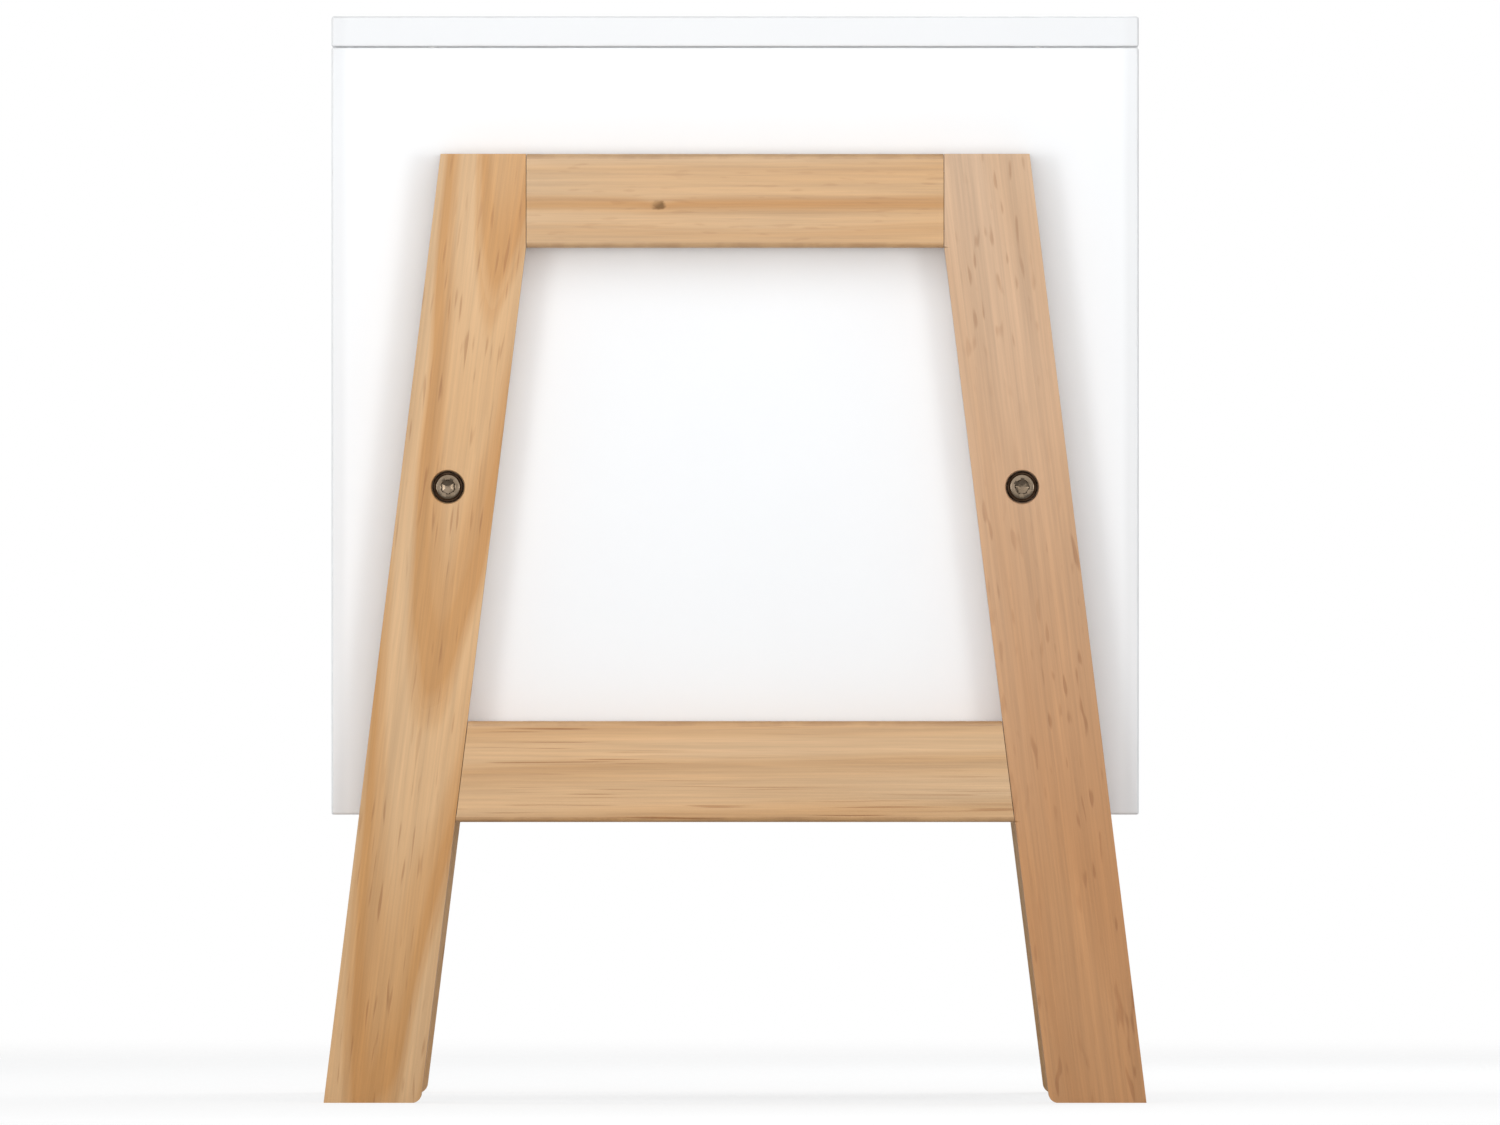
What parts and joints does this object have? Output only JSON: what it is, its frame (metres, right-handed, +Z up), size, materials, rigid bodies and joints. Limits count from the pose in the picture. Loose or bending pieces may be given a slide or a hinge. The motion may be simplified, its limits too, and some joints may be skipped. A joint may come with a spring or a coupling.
{
  "type": "bedside cabinet",
  "caption": "White bedside cabinet with a drawer over an open compartment, bolted between two A-shaped pine leg frames.",
  "frame": {"origin": "on the floor, under the middle of the object's bounding box", "axes": "+X to the cabinet's right-hand leg frame, -Y out of the drawer's front, +Z up"},
  "size_m": [0.5006, 0.4074, 0.5381],
  "materials": {
    "pine": "clear satin lacquer over knotty softwood grain",
    "white_board": "satin white lacquer on board",
    "white_hardboard": "white coated hardboard",
    "zinc_plated": "zinc plated steel",
    "die_cast": "die-cast metal",
    "white_enamel": "white enamelled steel",
    "nylon": "off-white nylon"
  },
  "bodies": {
    "cabinet": {"leg_front_left": "pine", "leg_back_left": "pine", "top_rail_left": "pine", "lower_rail_left": "pine", "leg_front_right": "pine", "leg_back_right": "pine", "top_rail_right": "pine", "lower_rail_right": "pine", "cap_screw_front_left": "zinc_plated", "washer_front_left": "zinc_plated", "insert_front_left": "zinc_plated", "cap_screw_back_left": "zinc_plated", "washer_back_left": "zinc_plated", "insert_back_left": "zinc_plated", "cap_screw_front_right": "zinc_plated", "washer_front_right": "zinc_plated", "insert_front_right": "zinc_plated", "cap_screw_back_right": "zinc_plated", "washer_back_right": "zinc_plated", "insert_back_right": "zinc_plated", "side_left": "white_board", "side_right": "white_board", "top_board": "white_board", "bottom_board": "white_board", "shelf": "white_board", "back_panel": "white_hardboard", "top_cam_front_left": "die_cast", "bottom_cam_front_left": "die_cast", "top_cam_bolt_front_left": "zinc_plated", "bottom_cam_bolt_front_left": "zinc_plated", "shelf_pin_front_left": "zinc_plated", "top_cam_back_left": "die_cast", "bottom_cam_back_left": "die_cast", "top_cam_bolt_back_left": "zinc_plated", "bottom_cam_bolt_back_left": "zinc_plated", "shelf_pin_back_left": "zinc_plated", "top_cam_front_right": "die_cast", "bottom_cam_front_right": "die_cast", "top_cam_bolt_front_right": "zinc_plated", "bottom_cam_bolt_front_right": "zinc_plated", "shelf_pin_front_right": "zinc_plated", "top_cam_back_right": "die_cast", "bottom_cam_back_right": "die_cast", "top_cam_bolt_back_right": "zinc_plated", "bottom_cam_bolt_back_right": "zinc_plated", "shelf_pin_back_right": "zinc_plated", "cabinet_runner_left": "white_enamel", "cabinet_runner_right": "white_enamel"},
    "drawer": {"drawer_front": "white_board", "drawer_side_left": "white_board", "drawer_side_right": "white_board", "drawer_back": "white_board", "drawer_bottom": "white_hardboard", "drawer_runner_left": "white_enamel", "drawer_runner_right": "white_enamel"},
    "cabinet_roller_left": {"cabinet_roller_left": "nylon"},
    "cabinet_roller_right": {"cabinet_roller_right": "nylon"},
    "drawer_roller_left": {"drawer_roller_left": "nylon"},
    "drawer_roller_right": {"drawer_roller_right": "nylon"}
  },
  "joints": [
    {"name": "drawer_slide", "type": "slide", "parent": "cabinet", "child": "drawer", "axis": [0, -1, 0], "range_m": [0, 0.26]},
    {"name": "cabinet_roller_left_spin", "type": "hinge", "parent": "cabinet", "child": "cabinet_roller_left", "pos_m": [-0.20205, -0.17, 0.3951], "axis": [1, 0, 0], "continuous": true},
    {"name": "drawer_roller_left_spin", "type": "hinge", "parent": "drawer", "child": "drawer_roller_left", "pos_m": [-0.19945, 0.153, 0.3949], "axis": [1, 0, 0], "continuous": true},
    {"name": "cabinet_roller_right_spin", "type": "hinge", "parent": "cabinet", "child": "cabinet_roller_right", "pos_m": [0.20205, -0.17, 0.3951], "axis": [1, 0, 0], "continuous": true},
    {"name": "drawer_roller_right_spin", "type": "hinge", "parent": "drawer", "child": "drawer_roller_right", "pos_m": [0.19945, 0.153, 0.3949], "axis": [1, 0, 0], "continuous": true}
  ],
  "couplings": [
    {"joint": "cabinet_roller_left_spin", "follows": "drawer_slide", "rad_per_m": 105.26},
    {"joint": "drawer_roller_left_spin", "follows": "drawer_slide", "rad_per_m": 105.26},
    {"joint": "cabinet_roller_right_spin", "follows": "drawer_slide", "rad_per_m": 105.26},
    {"joint": "drawer_roller_right_spin", "follows": "drawer_slide", "rad_per_m": 105.26}
  ]
}
